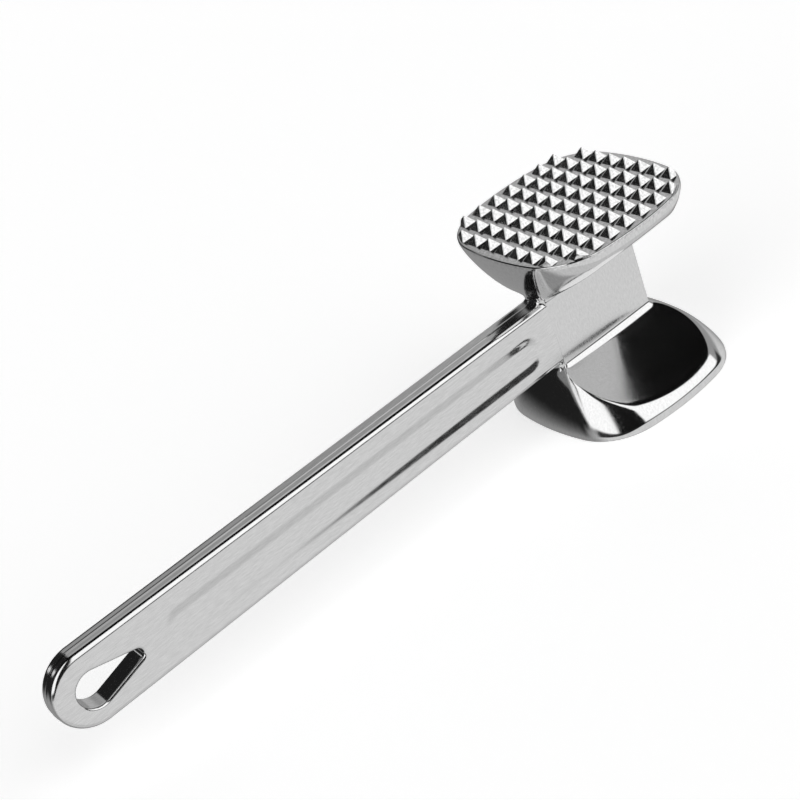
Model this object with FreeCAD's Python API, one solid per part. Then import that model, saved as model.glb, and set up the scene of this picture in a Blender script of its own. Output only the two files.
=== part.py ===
import FreeCAD, Part
import os
from math import acos, atan2, cos, hypot, pi, radians, sin, sqrt

# Two-faced meat mallet, in millimetres.
# The head axis is Z, the handle points towards -X, and the origin is the centre of the smooth face.

# Head
PLATE_HALF = 31.1          # half width of both square plates
PLATE_EDGE = 1.2           # thickness of each plate's vertical edge
PLATE_CORNER = 18.8        # corner radius of the plate's outline
PLATE_SIDE = 90.0          # radius of the plate's bulging sides
PLATE_BREAK = 0.5          # rounding of the smooth plate's outer edge
HEAD_HEIGHT = 64.2         # from the smooth face to the floor between the teeth
HUB_RADIUS = 12.0          # round boss that locates each plate in its flare
HUB_DEPTH = 3.0

# Teeth
TOOTH_PITCH = 6.5
TOOTH_ROWS = 9
TOOTH_BASE = 4.6           # side of a pyramid's square base
TOOTH_HEIGHT = 3.0
TOOTH_SINK = 0.4           # how far a pyramid runs on below the floor, to join it
TOOTH_MARGIN = 0.7         # flat border left round the teeth

# Neck block between the two flares
NECK_BACK = -21.1          # end that meets the handle
NECK_FRONT = 16.8
NECK_HALF = 4.55           # half thickness
NECK_LOW = 21.0
NECK_HIGH = 42.2
NECK_ROUND = 0.8           # corner radius of the neck's plan
NECK_SIDE = 4000.0         # radius of the neck's sides, which are flat
TENON_LENGTH = 24.0        # rectangular boss above and below the neck
TENON_HALF = 2.5
TENON_DEPTH = 6.0

# Flares: sections at these fractions of the way out from neck to plate, and the shape of their convex sides
FLARE_SHARES = (0.0, 0.2, 0.4, 0.6, 0.77, 0.9, 0.97, 1.0)
DOME_SPREAD = 1.6
DOME_DROP = 0.8
SCOOP_RADIUS = 62.0        # concave scoop in each broad flank
SCOOP_TOP = 19.5           # height above the plate's face at which it leaves the neck
SCOOP_RIM = 4.6            # height of its lowest point
SCOOP_X = 5.0

# Handle
EYE_X = -196.1             # centre of the handle's round end
EYE_Z = 28.9
EYE_RADIUS = 12.2
HANDLE_HALF = 11.2         # half height at the neck
HANDLE_Z = 32.2            # middle of the handle at the neck
THIN_HALF = 3.8            # half thickness at the round end
HANDLE_ROUND = 1.8         # rounding of the long edges
TANG_LENGTH = 14.0
TANG_HALF = 2.25
TANG_HEIGHT = 13.0

# Teardrop hanging hole
HOLE_X = -195.6
HOLE_Z = 28.3
HOLE_RADIUS = 5.8
HOLE_TIP_X = -181.5
HOLE_TIP_Z = 28.7
HOLE_TIP_RADIUS = 2.0
HOLE_ROUND = 0.9

# Flute on each side of the handle
FLUTE_START = -166.0
FLUTE_END = -33.0
FLUTE_HALF = 6.6
FLUTE_DROP = -1.0          # its middle lies a little below the handle's
FLUTE_DEPTH = 0.85

REACH = 60.0               # larger than any cross-section, for cutting tools
SLACK = 0.5                # margin for picking edges by where they lie


def vec(x, y, z=0.0):
    return FreeCAD.Vector(x, y, z)


def arc_about(centre, radius, start, end, z):
    """Arc in a level plane from angle start to angle end, in radians."""
    middle = (start + end) / 2
    points = [vec(centre[0] + radius * cos(a), centre[1] + radius * sin(a), z) for a in (start, middle, end)]
    return Part.Arc(*points).toShape()


def corner_centre(half_x, half_y, corner, side):
    """Centre of the corner arc that is tangent to both side arcs, in the first quadrant."""
    ax, by = half_x - side, half_y - side
    reach = side - corner
    span = hypot(ax, by)
    rise = sqrt(reach ** 2 - (span / 2) ** 2)
    return ax / 2 - rise * by / span, by / 2 - rise * ax / span


def rounded_square(half_x, half_y, corner, side, centre_x, z):
    """Closed wire of four bulging sides and four corner arcs."""
    cx, cy = corner_centre(half_x, half_y, corner, side)
    x_turn = atan2(cy, cx - (half_x - side))
    y_turn = atan2(cy - (half_y - side), cx)
    edges = []
    for quarter in range(4):
        turn = quarter * pi / 2
        along_x = quarter % 2 == 0
        half = half_x if along_x else half_y
        width = x_turn if along_x else pi / 2 - y_turn
        mid = (half - side) * cos(turn) + centre_x, (half - side) * sin(turn)
        edges.append(arc_about(mid, side, turn - width, turn + width, z))
        sign_x = 1 if quarter in (0, 3) else -1
        sign_y = 1 if quarter < 2 else -1
        first = turn + width
        other = pi / 2 - y_turn if along_x else x_turn
        last = turn + pi / 2 - other
        edges.append(arc_about((sign_x * cx + centre_x, sign_y * cy), corner, first, last, z))
    return Part.Wire(edges)


def plate_outline(inset, z):
    """The plate's outline, moved in by inset."""
    half = PLATE_HALF - inset
    return rounded_square(half, half, PLATE_CORNER - inset, PLATE_SIDE - inset, 0.0, z)


def box_between(x0, x1, y0, y1, z0, z1):
    return Part.makeBox(x1 - x0, y1 - y0, z1 - z0, vec(x0, y0, z0))


def mix(start, end, share):
    return start + (end - start) * share


def dome(z_neck, z_plate):
    """Convex body that spreads from the neck's section to the plate's."""
    neck_centre = (NECK_FRONT + NECK_BACK) / 2
    neck_half_x = (NECK_FRONT - NECK_BACK) / 2
    wires = []
    for share in FLARE_SHARES:
        level = 1 - (1 - share ** DOME_SPREAD) ** DOME_DROP
        side = 1 / mix(1 / NECK_SIDE, 1 / PLATE_SIDE, share)
        wires.append(rounded_square(
            mix(neck_half_x, PLATE_HALF, share), mix(NECK_HALF, PLATE_HALF, share),
            mix(NECK_ROUND, PLATE_CORNER, share), side,
            mix(neck_centre, 0.0, share), mix(z_neck, z_plate, level)))
    return Part.makeLoft(wires, True)


def scoop(side, z_neck, direction):
    """Part of a ball that hollows one broad flank, from the neck's side to just above the plate."""
    fall = SCOOP_TOP - SCOOP_RIM
    run = PLATE_HALF - NECK_HALF
    chord = hypot(run, fall)
    lift = sqrt(SCOOP_RADIUS ** 2 - (chord / 2) ** 2)
    y = (PLATE_HALF + NECK_HALF) / 2 + lift * fall / chord
    top = z_neck + direction * (NECK_LOW - SCOOP_TOP)
    z = top + direction * (fall / 2 - lift * run / chord)
    ball = Part.makeSphere(SCOOP_RADIUS, vec(SCOOP_X, side * y, z))
    near, far = sorted((side * NECK_HALF, side * REACH))
    return ball.common(box_between(-REACH, REACH, near, far, z_neck - REACH, z_neck + REACH))


def flare(z_neck, z_plate, direction):
    return dome(z_neck, z_plate).cut([scoop(-1, z_neck, direction), scoop(1, z_neck, direction)])


def tenon(z_neck, direction):
    """Rectangular boss between the neck and a flare."""
    middle = (NECK_FRONT + NECK_BACK) / 2
    low, high = sorted((z_neck, z_neck + direction * TENON_DEPTH))
    return box_between(middle - TENON_LENGTH / 2, middle + TENON_LENGTH / 2, -TENON_HALF, TENON_HALF, low, high)


def hub(z_plate, direction):
    """Round boss between a plate and its flare."""
    return Part.makeCylinder(HUB_RADIUS, HUB_DEPTH, vec(0, 0, z_plate), vec(0, 0, direction))


def head_body(z_neck, z_plate, direction):
    """One flare with its sockets; direction leads from the neck to the plate."""
    return flare(z_neck, z_plate, direction).cut(tenon(z_neck, direction)).cut(hub(z_plate, -direction))


def pyramid(x, y, floor):
    """One square tooth that starts a little below the floor."""
    half = TOOTH_BASE / 2 * (1 + TOOTH_SINK / TOOTH_HEIGHT)
    signs = ((-1, -1), (1, -1), (1, 1), (-1, 1))
    corners = [vec(x + sx * half, y + sy * half, floor - TOOTH_SINK) for sx, sy in signs]
    tip = vec(x, y, floor + TOOTH_HEIGHT)
    faces = [Part.Face(Part.makePolygon(corners + corners[:1]))]
    for i in range(4):
        faces.append(Part.Face(Part.makePolygon([corners[i], corners[(i + 1) % 4], tip, corners[i]])))
    return Part.Solid(Part.Shell(faces))


def tooth_field(floor):
    """Every tooth of the square grid but its four corners, trimmed to the plate's border."""
    last = TOOTH_ROWS // 2
    teeth = []
    for row in range(-last, last + 1):
        for column in range(-last, last + 1):
            if abs(row) == last and abs(column) == last:
                continue
            teeth.append(pyramid(row * TOOTH_PITCH, column * TOOTH_PITCH, floor))
    low = floor - 2 * TOOTH_SINK
    border = Part.Face(plate_outline(TOOTH_MARGIN, low)).extrude(vec(0, 0, TOOTH_HEIGHT + 3 * TOOTH_SINK))
    return [tooth.common(border) for tooth in teeth]


def tooth_plate():
    low = HEAD_HEIGHT - PLATE_EDGE
    plate = Part.Face(plate_outline(0.0, low)).extrude(vec(0, 0, PLATE_EDGE))
    plate = plate.fuse(hub(low, -1))
    return plate.fuse(tooth_field(HEAD_HEIGHT)).removeSplitter()


def smooth_plate():
    plate = Part.Face(plate_outline(0.0, 0.0)).extrude(vec(0, 0, PLATE_EDGE))
    rim = [edge for edge in plate.Edges if edge.BoundBox.ZMax < PLATE_EDGE - SLACK]
    plate = plate.makeFillet(PLATE_BREAK, rim)
    return plate.fuse(hub(PLATE_EDGE, 1)).removeSplitter()


def neck():
    neck_centre = (NECK_FRONT + NECK_BACK) / 2
    plan = rounded_square((NECK_FRONT - NECK_BACK) / 2, NECK_HALF, NECK_ROUND, NECK_SIDE, neck_centre, NECK_LOW)
    block = Part.Face(plan).extrude(vec(0, 0, NECK_HIGH - NECK_LOW))
    block = block.fuse([tenon(NECK_LOW, -1), tenon(NECK_HIGH, 1)]).removeSplitter()
    return block.cut(tang())


def tang():
    """Rectangular tongue that joins the handle to the neck."""
    half = TANG_HEIGHT / 2
    return box_between(NECK_BACK, NECK_BACK + TANG_LENGTH, -TANG_HALF, TANG_HALF, HANDLE_Z - half, HANDLE_Z + half)


def circle_pair_outline(big, big_radius, small, small_radius):
    """Wire round two circles in the XZ plane, with its two outer tangents."""
    span = hypot(small[0] - big[0], small[1] - big[1])
    heading = atan2(small[1] - big[1], small[0] - big[0])
    lean = acos((big_radius - small_radius) / span)

    def at(centre, radius, angle):
        return vec(centre[0] + radius * cos(angle), 0, centre[1] + radius * sin(angle))

    up, down = heading + lean, heading - lean
    return Part.Wire([
        Part.Arc(at(big, big_radius, up), at(big, big_radius, heading + pi), at(big, big_radius, down)).toShape(),
        Part.makeLine(at(big, big_radius, down), at(small, small_radius, down)),
        Part.Arc(at(small, small_radius, down), at(small, small_radius, heading), at(small, small_radius, up)).toShape(),
        Part.makeLine(at(small, small_radius, up), at(big, big_radius, up))])


def handle_blank():
    """Round-ended bar that thins towards its end, cut off square at the neck."""
    outline = circle_pair_outline((EYE_X, EYE_Z), EYE_RADIUS, (NECK_BACK, HANDLE_Z), HANDLE_HALF)
    outline.translate(vec(0, -REACH / 2, 0))
    bar = Part.Face(outline).extrude(vec(0, REACH, 0))
    end = EYE_X - EYE_RADIUS
    end_half = mix(NECK_HALF, THIN_HALF, (NECK_BACK - end) / (NECK_BACK - EYE_X))
    plan = [vec(NECK_BACK, -NECK_HALF), vec(NECK_BACK, NECK_HALF), vec(end, end_half), vec(end, -end_half)]
    taper = Part.Face(Part.makePolygon(plan + plan[:1])).extrude(vec(0, 0, REACH + EYE_Z))
    return bar.common(taper)


def round_long_edges(bar):
    """Round every edge of the two side faces but the ones at the neck."""
    rims = []
    for edge in bar.Edges:
        box = edge.BoundBox
        on_side = box.YMin > TANG_HALF or box.YMax < -TANG_HALF
        if on_side and box.XMin < NECK_BACK - SLACK:
            rims.append(edge)
    return bar.makeFillet(HANDLE_ROUND, rims)


def flute(side):
    """Long shallow trough with round ends, on one side of the handle."""
    radius = (FLUTE_HALF ** 2 + FLUTE_DEPTH ** 2) / (2 * FLUTE_DEPTH)
    ends = []
    for x in (FLUTE_START, FLUTE_END):
        share = (NECK_BACK - x) / (NECK_BACK - EYE_X)
        y = side * (mix(NECK_HALF, THIN_HALF, share) - FLUTE_DEPTH + radius)
        ends.append(vec(x, y, mix(HANDLE_Z, EYE_Z, share) + FLUTE_DROP))
    run = ends[1] - ends[0]
    tool = Part.makeCylinder(radius, run.Length, ends[0], run)
    return tool.fuse([Part.makeSphere(radius, end) for end in ends])


def handle(flares):
    bar = round_long_edges(handle_blank())
    hole = circle_pair_outline((HOLE_X, HOLE_Z), HOLE_RADIUS, (HOLE_TIP_X, HOLE_TIP_Z), HOLE_TIP_RADIUS)
    hole.translate(vec(0, -REACH / 2, 0))
    bar = bar.cut(Part.Face(hole).extrude(vec(0, REACH, 0)))
    rims = []
    for edge in bar.Edges:
        box = edge.BoundBox
        inside = box.XMin > HOLE_X - HOLE_RADIUS - SLACK and box.XMax < HOLE_TIP_X + HOLE_TIP_RADIUS + SLACK
        if inside and box.YLength < HOLE_ROUND and abs(box.ZMax - HOLE_Z) < HOLE_RADIUS + SLACK:
            rims.append(edge)
    bar = bar.makeFillet(HOLE_ROUND, rims)
    bar = bar.cut([flute(-1), flute(1)])
    bar = bar.cut(flares)
    return bar.fuse(tang()).removeSplitter()


def main():
    os.makedirs("parts", exist_ok=True)
    toothed = head_body(NECK_HIGH, HEAD_HEIGHT - PLATE_EDGE, 1)
    smooth = head_body(NECK_LOW, PLATE_EDGE, -1)
    parts = {
        "toothed_head": toothed,
        "smooth_head": smooth,
        "neck": neck(),
        "tooth_plate": tooth_plate(),
        "smooth_plate": smooth_plate(),
        "handle": handle([toothed, smooth]),
    }
    for name, shape in parts.items():
        box = shape.BoundBox
        print(name, shape.isValid(), len(shape.Solids), round(shape.Volume), [round(v, 2) for v in (
            box.XMin, box.XMax, box.YMin, box.YMax, box.ZMin, box.ZMax)])
        shape.exportStep(f"parts/{name}.step")


main()
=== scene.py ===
from math import acos, atan2, copysign, cos, hypot, pi, radians, sin, sqrt

import bmesh
import bpy
import numpy as np
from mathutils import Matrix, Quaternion, Vector


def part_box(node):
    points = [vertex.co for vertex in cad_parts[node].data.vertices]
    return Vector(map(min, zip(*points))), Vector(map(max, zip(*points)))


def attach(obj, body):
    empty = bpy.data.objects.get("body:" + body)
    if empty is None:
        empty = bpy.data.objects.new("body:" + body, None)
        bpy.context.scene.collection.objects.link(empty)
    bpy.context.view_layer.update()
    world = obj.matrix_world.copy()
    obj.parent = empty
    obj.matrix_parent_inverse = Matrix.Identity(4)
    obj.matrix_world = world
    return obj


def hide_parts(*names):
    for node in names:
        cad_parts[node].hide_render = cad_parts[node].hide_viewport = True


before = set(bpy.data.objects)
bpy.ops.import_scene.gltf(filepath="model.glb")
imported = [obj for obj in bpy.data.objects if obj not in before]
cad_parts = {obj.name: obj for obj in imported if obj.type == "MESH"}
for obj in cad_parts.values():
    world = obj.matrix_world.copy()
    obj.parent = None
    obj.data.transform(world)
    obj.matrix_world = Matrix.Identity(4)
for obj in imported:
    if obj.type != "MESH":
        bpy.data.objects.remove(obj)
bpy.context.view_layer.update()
MM = 0.001

# Sizes taken from the frame
TOOTH_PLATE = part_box("tooth_plate")
SMOOTH_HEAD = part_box("smooth_head")
TOOTHED_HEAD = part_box("toothed_head")
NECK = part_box("neck")
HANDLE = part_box("handle")
PLATE_HALF = TOOTH_PLATE[1].x
PLATE_EDGE = SMOOTH_HEAD[0].z
FLARE_TOP = SMOOTH_HEAD[1].z
HEAD_HEIGHT = TOOTHED_HEAD[1].z + PLATE_EDGE
NECK_BACK = NECK[0].x
NECK_FRONT = NECK[1].x
NECK_HALF = NECK[1].y
NECK_LOW = FLARE_TOP
NECK_HIGH = TOOTHED_HEAD[0].z
EYE_RADIUS = 12.2 * MM
EYE_X = HANDLE[0].x + EYE_RADIUS
EYE_Z = HANDLE[0].z + EYE_RADIUS

# Head details
PLATE_CORNER = 18.8 * MM       # corner radius of the plates' outline
PLATE_SIDE = 90.0 * MM         # radius of the plates' bulging sides
NECK_CORNER = 0.8 * MM
NECK_SIDE = 4.0                # the neck's sides are flat
NECK_OVERLAP = 1.0 * MM        # how far the neck runs on into the flares
SIDE_STEPS = 40                # mesh columns along one side of an outline, and round one corner
CORNER_STEPS = 44
CREASE_STEPS = 12              # mesh rows from the neck: over the crease, down the flank, and at the rim
FLANK_STEPS = 50
RIM_STEPS = 26
RIM_START = 0.85               # share of the way out at which the rim's finer rows start
WALL_LEVELS = (0.66, 0.33, 0.0)
CREASE_ROUND = 1.45 * MM       # concave rounding where a flank meets the neck
LIP_LOW = 2.7 * MM             # top of the rim's wall at the middle of the scooped flanks
LIP_HIGH = 1.3 * MM            # and at the corners and ends
SCOOP_RIM = 5.5 * MM           # height of a scoop's middle at the rim
SCOOP_BEND = 1.5               # how hollow a scoop is between neck and rim; 1 is straight
SCOOP_RISE = 1.6 * MM          # how much higher its front side is than its middle
SCOOP_RISE_BACK = 1.5 * MM     # and its side towards the handle
SCOOP_START = 0.8              # share of the way to the rim at which they reach that rise
SCOOP_X = 5.0 * MM             # middle and half width of the scoops
SCOOP_HALF = 21.0 * MM
RIDGE_TIGHT = 0.4 * MM         # rounding of the ridges beside a scoop, at the neck and at the rim
RIDGE_BROAD = 1.4 * MM
DOME_SPREAD = 1.6              # shape of the convex corners and ends between neck and rim
DOME_DROP = 0.8
EDGE_ROUND = 0.45 * MM
FACE_RINGS = (0.97, 0.9, 0.7, 0.4, 0.1)
NOTCH_ROUND = 4.5 * MM         # concave rounding between the handle's edges and the flares' ends
NOTCH_HALF = 4.45 * MM
NOTCH_STEPS = 33               # mesh rows across a notch, and points along each
NOTCH_CURVE_STEPS = 13

# Teeth
TOOTH_PITCH = 6.5 * MM
TOOTH_ROWS = 9
TOOTH_BASE = 4.6 * MM
TOOTH_HEIGHT = TOOTH_PLATE[1].z - HEAD_HEIGHT
TOOTH_MARGIN = 0.7 * MM        # between the outer teeth and the plate's edge
TOOTH_SUNK = 0.1 * MM
TOOTH_ROUND = 0.13 * MM        # rounding of the edges
TRIM_TURNS = np.radians(np.arange(12, 80, 6))   # cuts that trim the outer teeth round a corner

# Handle details
HANDLE_HALF = 11.2 * MM        # half height at the neck
HANDLE_Z = 32.2 * MM           # middle at the neck
THIN_HALF = 3.8 * MM           # half thickness at the round end
HANDLE_ROUND = 1.8 * MM        # rounding of the long edges
HOLE = (-195.6 * MM, 28.3 * MM)
HOLE_RADIUS = 5.8 * MM
HOLE_TIP = (-181.5 * MM, 28.7 * MM)
HOLE_TIP_RADIUS = 2.0 * MM
HOLE_ROUND = 0.9 * MM
CUT_X = -176.0 * MM            # where the bar's grid meets the rings round the hole
FLUTE_START = -166.0 * MM
FLUTE_END = -33.0 * MM
FLUTE_HALF = 6.6 * MM
FLUTE_WALL = 4.0 * MM          # width of the flute's sloping edge
FLUTE_DROP = -1.0 * MM         # its middle lies a little below the handle's
FLUTE_DEPTH = 0.88 * MM
FLUTE_FAINT = 0.62             # share of that depth at the hand's end
PARTING_HEIGHT = 0.12 * MM     # fine ridge left by the casting mould
PARTING_HALF = 0.35 * MM
BAR_STEPS = 160                # mesh steps along the bar
EYE_LINE_STEPS = 24            # along each straight edge of the eye
EYE_ARC_STEPS = 96             # round the eye
FACE_STEPS = 56                # across the bar's side faces
WALL_STEPS = 14                # across its top and bottom edges
RING_STEPS = 12                # from the eye's rim to the hole

SHARP_ANGLE = radians(35)      # edges of a mesh above this angle stay sharp
CLOUD_SIZE = 14 * MM           # size of the cloudy wear on the metal
FLOOR_HALF = 4.0
NO_EDGE = 400                  # past any turn, so a patch of light has no edge on that side

# Viewpoint
CAMERA_PLACE = Vector((-274.3, -386.8, 305.1)) * MM
CAMERA_HEADING = radians(27.05)
CAMERA_PITCH = radians(-31.10)
CAMERA_ROLL = radians(-21.46)
CAMERA_LENS = 78.12


def mix(start, end, share):
    return start + (end - start) * share


def ease(value):
    """0 to 1 with flat ends."""
    value = np.clip(value, 0.0, 1.0)
    return value * value * (3 - 2 * value)


# ---------------------------------------------------------------- mesh helpers

def add_mesh(name, points, faces):
    """A smooth mesh object from points in metres and lists of faces; its true corners stay sharp."""
    mesh = bpy.data.meshes.new(name)
    mesh.from_pydata([tuple(p) for p in points], [], faces)
    mesh.validate()
    mesh.shade_smooth()
    mesh.set_sharp_from_angle(angle=SHARP_ANGLE)
    piece = bpy.data.objects.new(name, mesh)
    bpy.context.scene.collection.objects.link(piece)
    return piece


def grid_faces(rows, columns, first=0, closed=True, flip=False):
    """Quads of a grid of points stored row by row; closed joins the last column to the first."""
    faces = []
    for r in range(rows - 1):
        for c in range(columns if closed else columns - 1):
            d = (c + 1) % columns
            quad = (first + r * columns + c, first + r * columns + d,
                    first + (r + 1) * columns + d, first + (r + 1) * columns + c)
            faces.append(quad[::-1] if flip else quad)
    return faces


def corner_centre(half_x, half_y, corner, side):
    """Centre of the corner arc that is tangent to both side arcs, in the first quadrant."""
    ax, by = half_x - side, half_y - side
    reach = side - corner
    span = hypot(ax, by)
    rise = sqrt(reach ** 2 - (span / 2) ** 2)
    return ax / 2 - rise * by / span, by / 2 - rise * ax / span


def outline(half_x, half_y, corner, side, centre_x=0.0):
    """Closed loop of four bulging sides and four round corners, anticlockwise from the +X side."""
    cx, cy = corner_centre(half_x, half_y, corner, side)
    x_turn = atan2(cy, cx - (half_x - side))
    y_turn = atan2(cy - (half_y - side), cx)
    loop = []
    for quarter in range(4):
        turn = quarter * pi / 2
        along_x = quarter % 2 == 0
        half = half_x if along_x else half_y
        width = x_turn if along_x else pi / 2 - y_turn
        other = pi / 2 - y_turn if along_x else x_turn
        middle = (half - side) * cos(turn), (half - side) * sin(turn)
        for step in range(SIDE_STEPS):
            angle = mix(turn - width, turn + width, step / SIDE_STEPS)
            loop.append((middle[0] + side * cos(angle), middle[1] + side * sin(angle)))
        sign_x = 1 if quarter in (0, 3) else -1
        sign_y = 1 if quarter < 2 else -1
        for step in range(CORNER_STEPS):
            angle = mix(turn + width, turn + pi / 2 - other, step / CORNER_STEPS)
            loop.append((sign_x * cx + corner * cos(angle), sign_y * cy + corner * sin(angle)))
    return np.array(loop) + (centre_x, 0.0)


def plate_outline(inset=0.0):
    half = PLATE_HALF - inset
    return outline(half, half, PLATE_CORNER - inset, PLATE_SIDE - inset)


def neck_outline():
    half, centre = (NECK_FRONT - NECK_BACK) / 2, (NECK_FRONT + NECK_BACK) / 2
    return outline(half, NECK_HALF, NECK_CORNER, NECK_SIDE, centre)


def flank_share():
    """How far each column of an outline is from the middle of a corner towards the Y flanks."""
    flank = []
    steps = np.arange(CORNER_STEPS) / CORNER_STEPS
    for quarter in range(4):
        on_end = quarter % 2 == 0
        flank += [0.0 if on_end else 1.0] * SIDE_STEPS
        flank += list(ease(2 * steps - 1) if on_end else ease(1 - 2 * steps))
    return np.array(flank)


def smooth_least(a, b, width):
    """The lesser of two heights, with the change from one to the other rounded over width."""
    share = np.clip(0.5 + 0.5 * (b - a) / width, 0, 1)
    return mix(b, a, share) - width * share * (1 - share)


def crease(away):
    """Height that the concave rounding adds, at a distance from the neck."""
    away = np.minimum(away, CREASE_ROUND)
    return CREASE_ROUND - np.sqrt(CREASE_ROUND ** 2 - (CREASE_ROUND - away) ** 2)


def scooped(plan):
    """Height of the concave scoops cut in the Y flanks, at points of the plan."""
    out = np.clip((np.abs(plan[:, 1]) - NECK_HALF) / (PLATE_HALF - NECK_HALF), 0, 1)
    middle = SCOOP_RIM + (FLARE_TOP - CREASE_ROUND - SCOOP_RIM) * (1 - out) ** SCOOP_BEND
    sideways = (plan[:, 0] - SCOOP_X) / SCOOP_HALF
    rise = np.where(sideways < 0, SCOOP_RISE_BACK, SCOOP_RISE)
    deep = 1 - (1 - np.minimum(1, out / SCOOP_START)) ** 2
    return middle + rise * deep * sideways ** 2


def flare_points():
    """Rows of points from the neck to the rim, with heights above the plate's face."""
    inner, outer = neck_outline(), plate_outline()
    lip = mix(LIP_HIGH, LIP_LOW, flank_share())
    span = np.linalg.norm(outer - inner, axis=1)
    near = CREASE_ROUND / span.mean()
    steps = np.concatenate([near * (1 - np.cos(np.linspace(0, pi / 2, CREASE_STEPS))),
                            mix(near, RIM_START, np.linspace(0, 1, FLANK_STEPS)[1:]),
                            mix(RIM_START, 1.0, np.sin(np.linspace(0, pi / 2, RIM_STEPS)[1:]))])
    start = FLARE_TOP - CREASE_ROUND
    rows = []
    for share in steps:
        plan = mix(inner, outer, share)
        dome = (1 - share ** DOME_SPREAD) ** DOME_DROP
        body = lip + (start - lip) * dome
        width = mix(RIDGE_TIGHT, RIDGE_BROAD, share)
        height = smooth_least(body, scooped(plan), width)
        height = np.maximum(height, lip) if share < 1 else lip
        rows.append(np.column_stack([plan, height + crease(span * share)]))
    for level in WALL_LEVELS:
        rows.append(np.column_stack([outer, mix(PLATE_EDGE, lip, level)]))
    return rows


def add_head(name, upside_down):
    """One flare; upside down it is the toothed face's."""
    rows = flare_points()
    columns = len(rows[0])
    points = np.concatenate(rows)
    if upside_down:
        points[:, 2] = HEAD_HEIGHT - points[:, 2]
    faces = grid_faces(len(rows), columns, flip=not upside_down)
    return add_mesh(name, points, faces)


def end_reach(rise):
    """How far a flare's end stands out from the neck, at a height above the plate's face."""
    level = np.clip((rise - LIP_HIGH) / (FLARE_TOP - CREASE_ROUND - LIP_HIGH), 0, 1)
    share = (1 - level ** (1 / DOME_DROP)) ** (1 / DOME_SPREAD)
    return NECK_BACK - share * (PLATE_HALF + NECK_BACK)


def add_notch(name, upper):
    """Concave rounding in the notch between the handle's edge and a flare's end."""
    flat = NECK_HALF - HANDLE_ROUND
    rows = []
    for y in np.linspace(-NOTCH_HALF, NOTCH_HALF, NOTCH_STEPS):
        over = max(0.0, abs(y) - flat)
        drop = HANDLE_ROUND - sqrt(HANDLE_ROUND ** 2 - over ** 2)
        edge = HANDLE_Z + HANDLE_HALF - drop if upper else HEAD_HEIGHT - (HANDLE_Z - HANDLE_HALF + drop)
        size = NOTCH_ROUND * sqrt(max(0.0, 1 - (y / NOTCH_HALF) ** 2))
        foot = end_reach(HEAD_HEIGHT - edge)
        start = np.array([foot - size, edge])
        middle = np.array([foot, edge])
        finish = np.array([end_reach(HEAD_HEIGHT - edge - size), edge + size])
        row = []
        for share in np.linspace(0, 1, NOTCH_CURVE_STEPS):
            p = mix(mix(start, middle, share), mix(middle, finish, share), share)
            row.append((p[0], y, p[1] if upper else HEAD_HEIGHT - p[1]))
        rows.append(row)
    points = [p for row in rows for p in row]
    return add_mesh(name, points, grid_faces(len(rows), len(rows[0]), closed=False, flip=upper))


def neck_loop():
    """Plan of the neck: flat sides, a rounded front, and a square back where the handle runs on."""
    front = NECK_FRONT - NECK_CORNER
    side = NECK_HALF - NECK_CORNER
    half = [(x, -NECK_HALF) for x in np.linspace(NECK_BACK, front, 30)[:-1]]
    for turn in np.linspace(0, pi / 2, 9):
        half.append((front + NECK_CORNER * sin(turn), -side - NECK_CORNER * cos(turn)))
    return np.array(half + [(x, -y) for x, y in half[::-1]])


def add_neck():
    """The neck's walls; its top and bottom lie inside the flares."""
    loop = neck_loop()
    columns = len(loop)
    levels = np.linspace(NECK_LOW - NECK_OVERLAP, NECK_HIGH + NECK_OVERLAP, 9)
    points = np.concatenate([np.column_stack([loop, np.full(columns, z)]) for z in levels])
    return add_mesh("neck_web", points, grid_faces(len(levels), columns))


def slab_rows(edge_z, face_z):
    """Loops of a plate's wall and rounded outer edge, and rings over its face to the middle."""
    direction = 1 if face_z > edge_z else -1
    rows = [np.column_stack([plate_outline(), np.full(4 * (SIDE_STEPS + CORNER_STEPS), edge_z)])]
    for angle in np.linspace(0, pi / 2, 7):
        inset = EDGE_ROUND * (1 - cos(angle))
        z = face_z - direction * EDGE_ROUND * (1 - sin(angle))
        loop = plate_outline(inset)
        rows.append(np.column_stack([loop, np.full(len(loop), z)]))
    for share in FACE_RINGS:
        loop = plate_outline(EDGE_ROUND) * share
        rows.append(np.column_stack([loop, np.full(len(loop), face_z)]))
    return rows


def add_slab(name, edge_z, face_z):
    """A plate's wall and face, without the teeth; its inner side lies inside the flare."""
    rows = slab_rows(edge_z, face_z)
    columns = len(rows[0])
    points = list(np.concatenate(rows))
    faces = grid_faces(len(rows), columns, flip=face_z < edge_z)
    first = (len(rows) - 1) * columns
    middle = len(points)
    points.append((0.0, 0.0, face_z))
    for c in range(columns):
        face = (first + c, first + (c + 1) % columns, middle)
        faces.append(face[::-1] if face_z < edge_z else face)
    return add_mesh(name, points, faces)


def pyramid(x, y):
    """Polygons of one tooth; its foot is sunk a little into the plate."""
    half = TOOTH_BASE / 2
    low, tip = HEAD_HEIGHT - TOOTH_SUNK, (x, y, HEAD_HEIGHT + TOOTH_HEIGHT)
    foot = [(x + sx * half, y + sy * half, low) for sx, sy in ((-1, -1), (1, -1), (1, 1), (-1, 1))]
    return [foot[::-1]] + [[foot[i], foot[(i + 1) % 4], tip] for i in range(4)]


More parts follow.
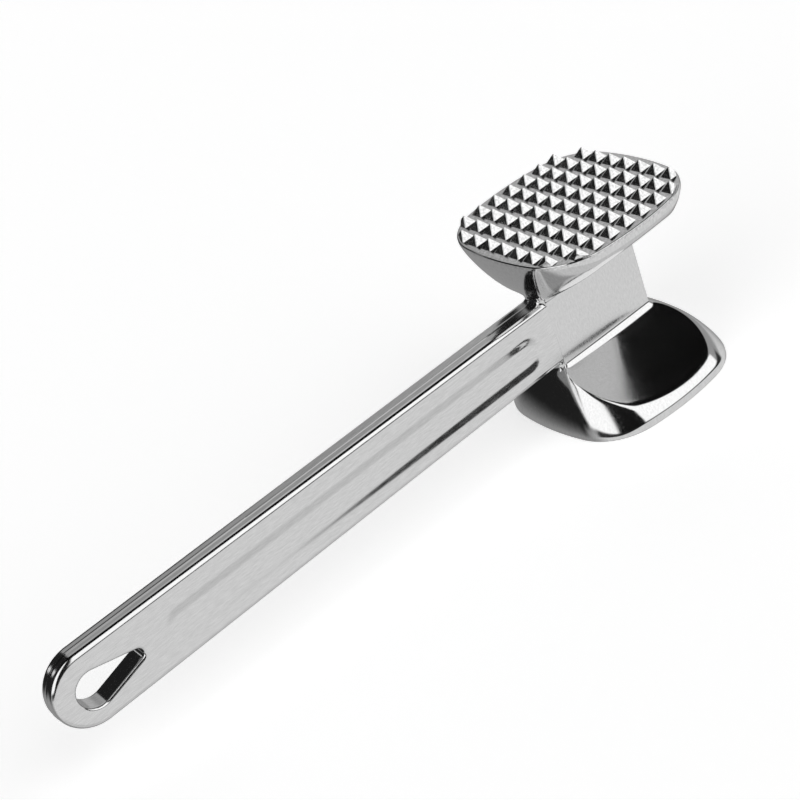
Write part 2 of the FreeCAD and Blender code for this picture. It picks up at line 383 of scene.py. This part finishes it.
def cut_solid(polygons, turn, reach):
    """Keeps the part of a convex solid whose distance along a horizontal direction is below reach."""
    direction = np.array([cos(turn), sin(turn), 0.0])
    kept, rim = [], []
    for polygon in polygons:
        loop = []
        for a, b in zip(polygon, polygon[1:] + polygon[:1]):
            over_a, over_b = np.dot(a, direction) - reach, np.dot(b, direction) - reach
            if over_a <= 0:
                loop.append(a)
            if over_a * over_b < 0:
                crossing = tuple(mix(np.array(a), np.array(b), over_a / (over_a - over_b)))
                loop.append(crossing)
                rim.append(crossing)
        if len(loop) > 2:
            kept.append(loop)
    if len(rim) > 2:
        middle = np.mean(rim, axis=0)
        across = np.array([-sin(turn), cos(turn), 0.0])
        rim.sort(key=lambda p: atan2(p[2] - middle[2], np.dot(p - middle, across)))
        kept.append(rim)
    return kept


def tooth_solid(row, column):
    """Polygons of the tooth at this place in the grid, cut back to lie inside the plate's edge."""
    solid = pyramid(row * TOOTH_PITCH, column * TOOTH_PITCH)
    if abs(row) + abs(column) <= TOOTH_ROWS // 2 + 1:
        return solid
    centre, _ = corner_centre(PLATE_HALF, PLATE_HALF, PLATE_CORNER, PLATE_SIDE)
    for turn in TRIM_TURNS:
        turn = atan2(copysign(sin(turn), column), copysign(cos(turn), row))
        corner = centre * (abs(cos(turn)) + abs(sin(turn)))
        solid = cut_solid(solid, turn, corner + PLATE_CORNER - TOOTH_MARGIN)
    return solid


def join_polygons(mesh, polygons):
    """Adds one solid to a bmesh, with each corner shared by the polygons that meet there."""
    def key(p):
        return tuple(round(v / MM, 3) for v in p)

    places = {}
    for polygon in polygons:
        for p in polygon:
            if key(p) not in places:
                places[key(p)] = mesh.verts.new(p)
    for polygon in polygons:
        corners = []
        for p in polygon:
            if places[key(p)] not in corners:
                corners.append(places[key(p)])
        if len(corners) > 2:
            mesh.faces.new(corners)


def add_teeth():
    """Every tooth of the square grid but its four corners, with slightly rounded edges."""
    last = TOOTH_ROWS // 2
    mesh = bmesh.new()
    for row in range(-last, last + 1):
        for column in range(-last, last + 1):
            if abs(row) < last or abs(column) < last:
                join_polygons(mesh, tooth_solid(row, column))
    edges = [e for e in mesh.edges if max(v.co.z for v in e.verts) > HEAD_HEIGHT]
    bmesh.ops.bevel(mesh, geom=edges, offset=TOOTH_ROUND, segments=2, affect="EDGES", clamp_overlap=True)
    points = [v.co[:] for v in mesh.verts]
    mesh.verts.index_update()
    faces = [[v.index for v in f.verts] for f in mesh.faces]
    mesh.free()
    return add_mesh("teeth", points, faces)


# ---------------------------------------------------------------- handle

def half_thickness(x):
    share = np.clip((NECK_BACK - x) / (NECK_BACK - EYE_X), 0, 1.1)
    return mix(NECK_HALF, THIN_HALF, share)


def flute_depth(x, z):
    """Depth of the shallow flat-bottomed trough at a point of the side face."""
    share = np.clip((NECK_BACK - x) / (NECK_BACK - EYE_X), 0, 1)
    middle = mix(HANDLE_Z, EYE_Z, share) + FLUTE_DROP
    along = np.maximum(0, np.maximum(FLUTE_START - x, x - FLUTE_END))
    away = np.hypot(along, z - middle)
    fading = mix(FLUTE_FAINT, 1.0, ease((x - FLUTE_START) / (FLUTE_END - FLUTE_START)))
    return FLUTE_DEPTH * fading * ease((FLUTE_HALF - away) / FLUTE_WALL)


def tangent_points(big, big_radius, small, small_radius):
    """Angles of the upper and lower outer tangents' normals of two circles, and the heading between."""
    span = hypot(small[0] - big[0], small[1] - big[1])
    heading = atan2(small[1] - big[1], small[0] - big[0])
    lean = acos((big_radius - small_radius) / span)
    return heading + lean, heading - lean, heading


def handle_path():
    """Points and outward normals round the handle's outline, from the neck's top to the neck's bottom."""
    eye = (EYE_X, EYE_Z)
    root = (NECK_BACK, HANDLE_Z)
    up, down, _ = tangent_points(eye, EYE_RADIUS, root, HANDLE_HALF)

    def line(angle, x):
        """Point on the tangent line with this normal at x."""
        n = (cos(angle), sin(angle))
        z = (EYE_RADIUS + n[0] * eye[0] + n[1] * eye[1] - n[0] * x) / n[1]
        return (x, z), n

    bar = np.linspace(NECK_BACK, CUT_X, BAR_STEPS + 1)
    top_tangent = EYE_X + EYE_RADIUS * cos(up)
    bottom_tangent = EYE_X + EYE_RADIUS * cos(down)
    path = [line(up, x) for x in bar]
    path += [line(up, x) for x in np.linspace(CUT_X, top_tangent, EYE_LINE_STEPS + 1)[1:]]
    for angle in np.linspace(up, down + 2 * pi, EYE_ARC_STEPS + 1)[1:]:
        n = (cos(angle), sin(angle))
        path.append(((eye[0] + EYE_RADIUS * n[0], eye[1] + EYE_RADIUS * n[1]), n))
    path += [line(down, x) for x in np.linspace(bottom_tangent, CUT_X, EYE_LINE_STEPS + 1)[1:]]
    path += [line(down, x) for x in bar[::-1][1:]]
    return np.array([p for p, n in path]), np.array([n for p, n in path])


def hole_path():
    """Points and normals (pointing into the metal) round the hole, matched to the eye's outline."""
    up, down, heading = tangent_points(HOLE, HOLE_RADIUS, HOLE_TIP, HOLE_TIP_RADIUS)
    half_cut = FACE_STEPS // 2
    path = []

    def arc(centre, radius, start, end, steps):
        for step in range(steps):
            angle = mix(start, end, step / steps)
            n = (cos(angle), sin(angle))
            path.append(((centre[0] + radius * n[0], centre[1] + radius * n[1]), n))

    def line(start, end, angle, steps):
        n = (cos(angle), sin(angle))
        for step in range(steps):
            share = step / steps
            path.append(((mix(start[0], end[0], share), mix(start[1], end[1], share)), n))

    def at(centre, radius, angle):
        return centre[0] + radius * cos(angle), centre[1] + radius * sin(angle)

    arc(HOLE_TIP, HOLE_TIP_RADIUS, heading, up, half_cut)
    line(at(HOLE_TIP, HOLE_TIP_RADIUS, up), at(HOLE, HOLE_RADIUS, up), up, EYE_LINE_STEPS)
    arc(HOLE, HOLE_RADIUS, up, down + 2 * pi, EYE_ARC_STEPS)
    line(at(HOLE, HOLE_RADIUS, down), at(HOLE_TIP, HOLE_TIP_RADIUS, down), down, EYE_LINE_STEPS)
    arc(HOLE_TIP, HOLE_TIP_RADIUS, down, heading, half_cut)
    return np.array([p for p, n in path]), np.array([n for p, n in path])


def edge_profile(radius, half, wall_steps):
    """Pairs of inset and y round a wall, from one side face to the other."""
    profile = []
    for angle in np.linspace(0, pi / 2, 9):
        profile.append((radius * (1 - sin(angle)), -(half - radius * (1 - cos(angle)))))
    inner = half - radius
    for y in np.linspace(-inner, inner, wall_steps + 1)[1:-1]:
        profile.append((0.0, y))
    return profile + [(inset, -y) for inset, y in profile[8::-1]]


def swept_edge(points, normals, radius, ridge):
    """Rows of points round the wall at each point of a path; normals point away from the metal."""
    rows = []
    for p, n in zip(points, normals):
        half = half_thickness(p[0])
        row = []
        for inset, y in edge_profile(radius, half, WALL_STEPS):
            bump = ridge * max(0.0, 1 - (y / PARTING_HALF) ** 2) if inset == 0 else 0.0
            row.append((p[0] - n[0] * (inset - bump), y, p[1] - n[1] * (inset - bump)))
        rows.append(row)
    return np.array(rows)


def strip_faces(rows, closed, flip):
    """Quads between neighbouring rows of point numbers."""
    faces = []
    for upper, lower in zip(rows, rows[1:]):
        for c in range(len(upper) if closed else len(upper) - 1):
            d = (c + 1) % len(upper)
            quad = (upper[c], lower[c], lower[d], upper[d])
            faces.append(quad[::-1] if flip else quad)
    return faces


def rows_between(vertices, first, last, steps, side, fluted):
    """Rows of new points on a side face, on straight lines from each point of first to its partner."""
    rows = []
    for start, finish in zip(first, last):
        a, b = vertices[start], vertices[finish]
        row = [start]
        for step in range(1, steps):
            share = step / steps
            x, z = mix(a[0], b[0], share), mix(a[2], b[2], share)
            half = half_thickness(x) - (flute_depth(x, z) if fluted else 0.0)
            row.append(len(vertices))
            vertices.append((x, side * half, z))
        rows.append(row + [finish])
    return rows


def side_faces(vertices, rim, hole, side):
    """One side face: a grid over the fluted bar, and rings round the hole in the eye."""
    count = len(rim)
    top, bottom = rim[:BAR_STEPS + 1], rim[:count - 2 - BAR_STEPS:-1]
    bar = rows_between(vertices, top, bottom, FACE_STEPS, side, fluted=True)
    cut = bar[-1]
    half_cut = FACE_STEPS // 2
    around = cut[half_cut:0:-1] + rim[BAR_STEPS:count - 1 - BAR_STEPS] + cut[FACE_STEPS:half_cut:-1]
    spokes = rows_between(vertices, around, hole, RING_STEPS, side, fluted=False)
    rings = [list(ring) for ring in zip(*spokes)]
    return strip_faces(bar, False, side < 0) + strip_faces(rings, True, side > 0)


def add_handle():
    """The bar with its rounded long edges, its two side faces and the wall of the hole."""
    points, normals = handle_path()
    rim = swept_edge(points, normals, HANDLE_ROUND, PARTING_HEIGHT)
    points, normals = hole_path()
    hole = swept_edge(points, -normals, HOLE_ROUND, 0.0)
    across = rim.shape[1]
    hole_first = len(rim) * across
    last_row = hole_first + (len(hole) - 1) * across
    vertices = list(rim.reshape(-1, 3)) + list(hole.reshape(-1, 3))
    faces = grid_faces(len(rim), across, closed=False)
    faces += grid_faces(len(hole), across, first=hole_first, closed=False, flip=True)
    for c in range(across - 1):
        faces.append((last_row + c, hole_first + c, hole_first + c + 1, last_row + c + 1))
    for side, column in ((-1, 0), (1, across - 1)):
        rim_line = [i * across + column for i in range(len(rim))]
        hole_line = [hole_first + i * across + column for i in range(len(hole))]
        faces += side_faces(vertices, rim_line, hole_line, side)
    return add_mesh("handle_bar", vertices, faces)


# ---------------------------------------------------------------- materials

def new_material(name):
    """A material with one principled shader."""
    material = bpy.data.materials.new(name)
    material.use_nodes = True
    nodes = material.node_tree.nodes
    nodes.clear()
    output = nodes.new("ShaderNodeOutputMaterial")
    shader = nodes.new("ShaderNodeBsdfPrincipled")
    material.node_tree.links.new(shader.outputs[0], output.inputs[0])
    return material, shader


def connect(material, source, target):
    material.node_tree.links.new(source, target)


def noise(material, place, size, stretch=(1, 1, 1), detail=4.0):
    """Noise whose grains are about size across, drawn out by stretch along each axis of the piece."""
    nodes = material.node_tree.nodes
    mapping = nodes.new("ShaderNodeMapping")
    mapping.inputs["Scale"].default_value = [1 / s for s in stretch]
    texture = nodes.new("ShaderNodeTexNoise")
    texture.inputs["Scale"].default_value = 1 / size
    texture.inputs["Detail"].default_value = detail
    connect(material, place, mapping.inputs["Vector"])
    connect(material, mapping.outputs[0], texture.inputs["Vector"])
    return texture.outputs[0]


def spread(material, value, low, high):
    """Stretches noise to run from low to high."""
    node = material.node_tree.nodes.new("ShaderNodeMapRange")
    node.inputs["From Min"].default_value = 0.3
    node.inputs["From Max"].default_value = 0.7
    node.inputs["To Min"].default_value = low
    node.inputs["To Max"].default_value = high
    connect(material, value, node.inputs[0])
    return node.outputs[0]


def polished_metal(name, roughness, tone, grain, stretch, relief):
    """Buffed cast aluminium: fine grain in colour, gloss and height, with wider cloudy wear."""
    material, shader = new_material(name)
    nodes = material.node_tree.nodes
    place = nodes.new("ShaderNodeTexCoord").outputs["Object"]
    shader.inputs["Metallic"].default_value = 1.0
    fine = noise(material, place, grain, stretch)
    clouds = noise(material, place, CLOUD_SIZE, detail=2.0)
    rough = nodes.new("ShaderNodeMath")
    connect(material, spread(material, fine, roughness[0], roughness[1]), rough.inputs[0])
    connect(material, spread(material, clouds, 0.0, roughness[0] / 2), rough.inputs[1])
    connect(material, rough.outputs[0], shader.inputs["Roughness"])
    colour = nodes.new("ShaderNodeCombineColor")
    grey = spread(material, fine, tone[0], tone[1])
    for socket in colour.inputs[:3]:
        connect(material, grey, socket)
    connect(material, colour.outputs[0], shader.inputs["Base Color"])
    bump = nodes.new("ShaderNodeBump")
    bump.inputs["Strength"].default_value = 1.0
    bump.inputs["Distance"].default_value = relief
    connect(material, fine, bump.inputs["Height"])
    connect(material, bump.outputs[0], shader.inputs["Normal"])
    return material


def dress(piece, material, node=None):
    """Gives a piece its material and its place in the frame, and hides the CAD node it stands for, if any.
    """
    piece.data.materials.append(material)
    if node:
        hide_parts(node)
    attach(piece, "root")


# ---------------------------------------------------------------- stage

def add_floor():
    """Plain pale floor that the metal doesn't reflect: the studio's light stands in for it."""
    points = [(FLOOR_HALF * x, FLOOR_HALF * y, 0) for x, y in ((-1, -1), (1, -1), (1, 1), (-1, 1))]
    floor = add_mesh("studio_floor", points, [(0, 1, 2, 3)])
    material, shader = new_material("pale_floor")
    shader.inputs["Base Color"].default_value = (0.9, 0.9, 0.9, 1)
    shader.inputs["Roughness"].default_value = 0.9
    shader.inputs["Emission Color"].default_value = (1, 1, 1, 1)
    shader.inputs["Emission Strength"].default_value = 0.62
    floor.data.materials.append(material)
    floor.visible_glossy = False


class World:
    """Builds a studio of soft boxes and dark flags, as a function of direction.

    Turn is in degrees round the mallet: 0 in front of it (-Y), 90 beyond its head (+X) and
    -90 beyond its handle. Rise is in degrees above the horizon.
    """

    def __init__(self):
        world = bpy.data.worlds.new("studio")
        bpy.context.scene.world = world
        world.use_nodes = True
        self.tree = world.node_tree
        self.tree.nodes.clear()
        self.background = self.tree.nodes.new("ShaderNodeBackground")
        output = self.tree.nodes.new("ShaderNodeOutputWorld")
        self.tree.links.new(self.background.outputs[0], output.inputs[0])
        place = self.tree.nodes.new("ShaderNodeTexCoord")
        split = self.tree.nodes.new("ShaderNodeSeparateXYZ")
        self.tree.links.new(place.outputs["Generated"], split.inputs[0])
        x, y, z = split.outputs
        degrees = 180 / pi
        ahead = self.math("MULTIPLY", y, -1.0)
        self.turn = self.math("MULTIPLY", self.math("ARCTAN2", x, ahead), degrees)
        self.rise = self.math("MULTIPLY", self.math("ARCSINE", z), degrees)
        self.slope = self.math("DIVIDE", z, self.math("MAXIMUM", ahead, 0.01))
        self.light = None

    def math(self, operation, *values):
        node = self.tree.nodes.new("ShaderNodeMath")
        node.operation = operation
        for socket, value in zip(node.inputs, values):
            if isinstance(value, (int, float)):
                socket.default_value = value
            else:
                self.tree.links.new(value, socket)
        return node.outputs[0]

    def ramp(self, value, start, end):
        """0 at start to 1 at end, smoothly; start may lie above end."""
        node = self.tree.nodes.new("ShaderNodeMapRange")
        node.interpolation_type = "SMOOTHSTEP"
        self.tree.links.new(value, node.inputs[0])
        node.inputs[1].default_value = start
        node.inputs[2].default_value = end
        return node.outputs[0]

    def window(self, value, low, high, soft):
        """1 between low and high, 0 outside, with edges soft wide."""
        rise = self.ramp(value, low - soft / 2, low + soft / 2)
        fall = self.ramp(value, high + soft / 2, high - soft / 2)
        return self.math("MULTIPLY", rise, fall)

    def patch(self, turn, rise, strength, soft=(8, 8)):
        """Sets the light inside a window of turns and rises, with soft edges."""
        across = self.window(self.turn, turn[0], turn[1], soft[0])
        up = self.window(self.rise, rise[0], rise[1], soft[1])
        self.fill(self.math("MULTIPLY", across, up), strength)

    def box(self, turn, slope, strength, soft):
        """The same for an upright box in front, whose top and bottom edges are straight lines."""
        across = self.window(self.turn, turn[0], turn[1], soft[0])
        up = self.window(self.slope, slope[0], slope[1], soft[1])
        self.fill(self.math("MULTIPLY", across, up), strength)

    def fill(self, mask, strength):
        kept = self.math("MULTIPLY", self.light, self.math("SUBTRACT", 1.0, mask))
        self.light = self.math("ADD", kept, self.math("MULTIPLY", mask, strength))

    def finish(self):
        self.tree.links.new(self.light, self.background.inputs["Strength"])


def light_studio():
    """Later patches cover earlier ones."""
    world = World()
    # grey walls all round, dark overhead
    world.light = world.math("MULTIPLY", world.ramp(world.rise, 62, 40), 0.45)
    # lighter wall behind the head, brighter near its top and darker towards the back
    world.patch((120, NO_EDGE), (-8, 56), 0.62, soft=(16, 12))
    world.patch((135, 160), (38, 60), 0.85, soft=(12, 12))
    world.patch((150, 185), (15, 38), 0.42, soft=(14, 12))
    # dark flag in front, on the handle's side
    world.patch((-70, 6), (-3, 88), 0.01, soft=(8, 4))
    # large soft box in front, on the head's side, with a taller inner half
    world.box((-2, 68), (0.15, 1.9), 1.6, soft=(6, 0.2))
    world.box((-2, 34), (0.5, 3.2), 1.6, soft=(8, 0.2))
    # soft box beyond the handle's end, and the dark flag next to it
    world.patch((-96, -50), (4, 76), 1.6, soft=(5, 6))
    world.patch((-NO_EDGE, -98), (-4, 60), 0.01, soft=(6, 10))
    # dark flag high above the head
    world.patch((52, 132), (42, 90), 0.005, soft=(10, 8))
    # the floor: grey behind, bright in front and slightly darker straight below
    world.patch((-NO_EDGE, NO_EDGE), (-95, -3), 0.4, soft=(8, 8))
    world.patch((-85, 110), (-95, -3), 0.98, soft=(40, 6))
    world.patch((-85, 110), (-95, -46), 0.8, soft=(40, 14))
    # dark strips low at the back and along the horizon in front
    world.patch((163, NO_EDGE), (-5, 28), 0.03, soft=(8, 8))
    world.patch((-85, 85), (-8, 5), 0.03, soft=(8, 4))
    # dark flag low behind the handle, with a small lamp in it
    world.patch((-NO_EDGE, -105), (-14, 40), 0.02, soft=(12, 18))
    world.patch((-154, -148), (15, 25), 1.2, soft=(3, 4))
    world.finish()


def add_camera():
    data = bpy.data.cameras.new("camera")
    data.lens = CAMERA_LENS
    data.sensor_width = 36.0
    camera = bpy.data.objects.new("camera", data)
    bpy.context.scene.collection.objects.link(camera)
    forward = Vector((sin(CAMERA_HEADING) * cos(CAMERA_PITCH), cos(CAMERA_HEADING) * cos(CAMERA_PITCH),
                      sin(CAMERA_PITCH)))
    camera.location = CAMERA_PLACE
    camera.rotation_mode = "QUATERNION"
    camera.rotation_quaternion = forward.to_track_quat("-Z", "Y") @ Quaternion((0, 0, 1), CAMERA_ROLL)
    bpy.context.scene.camera = camera


head_metal = polished_metal("buffed_head", (0.06, 0.12), (0.70, 0.79), 0.5 * MM, (1, 1, 3), 0.0012 * MM)
tooth_metal = polished_metal("cast_teeth", (0.07, 0.16), (0.6, 0.86), 0.7 * MM, (1, 1, 1), 0.007 * MM)
handle_metal = polished_metal("buffed_handle", (0.08, 0.15), (0.70, 0.80), 0.5 * MM, (6, 1, 1), 0.0015 * MM)
dress(add_head("smooth_flare", False), head_metal, "smooth_head")
dress(add_head("toothed_flare", True), head_metal, "toothed_head")
dress(add_neck(), head_metal, "neck")
tooth_slab = add_slab("tooth_plate_slab", HEAD_HEIGHT - PLATE_EDGE, HEAD_HEIGHT)
dress(tooth_slab, tooth_metal, "tooth_plate")
dress(add_teeth(), tooth_metal)
smooth_slab = add_slab("smooth_plate_slab", PLATE_EDGE, 0.0)
dress(smooth_slab, head_metal, "smooth_plate")
dress(add_handle(), handle_metal, "handle")
for notch_name, is_upper in (("upper_notch", True), ("lower_notch", False)):
    dress(add_notch(notch_name, is_upper), head_metal)
add_floor()
light_studio()
add_camera()
bpy.context.scene.view_settings.view_transform = "Standard"
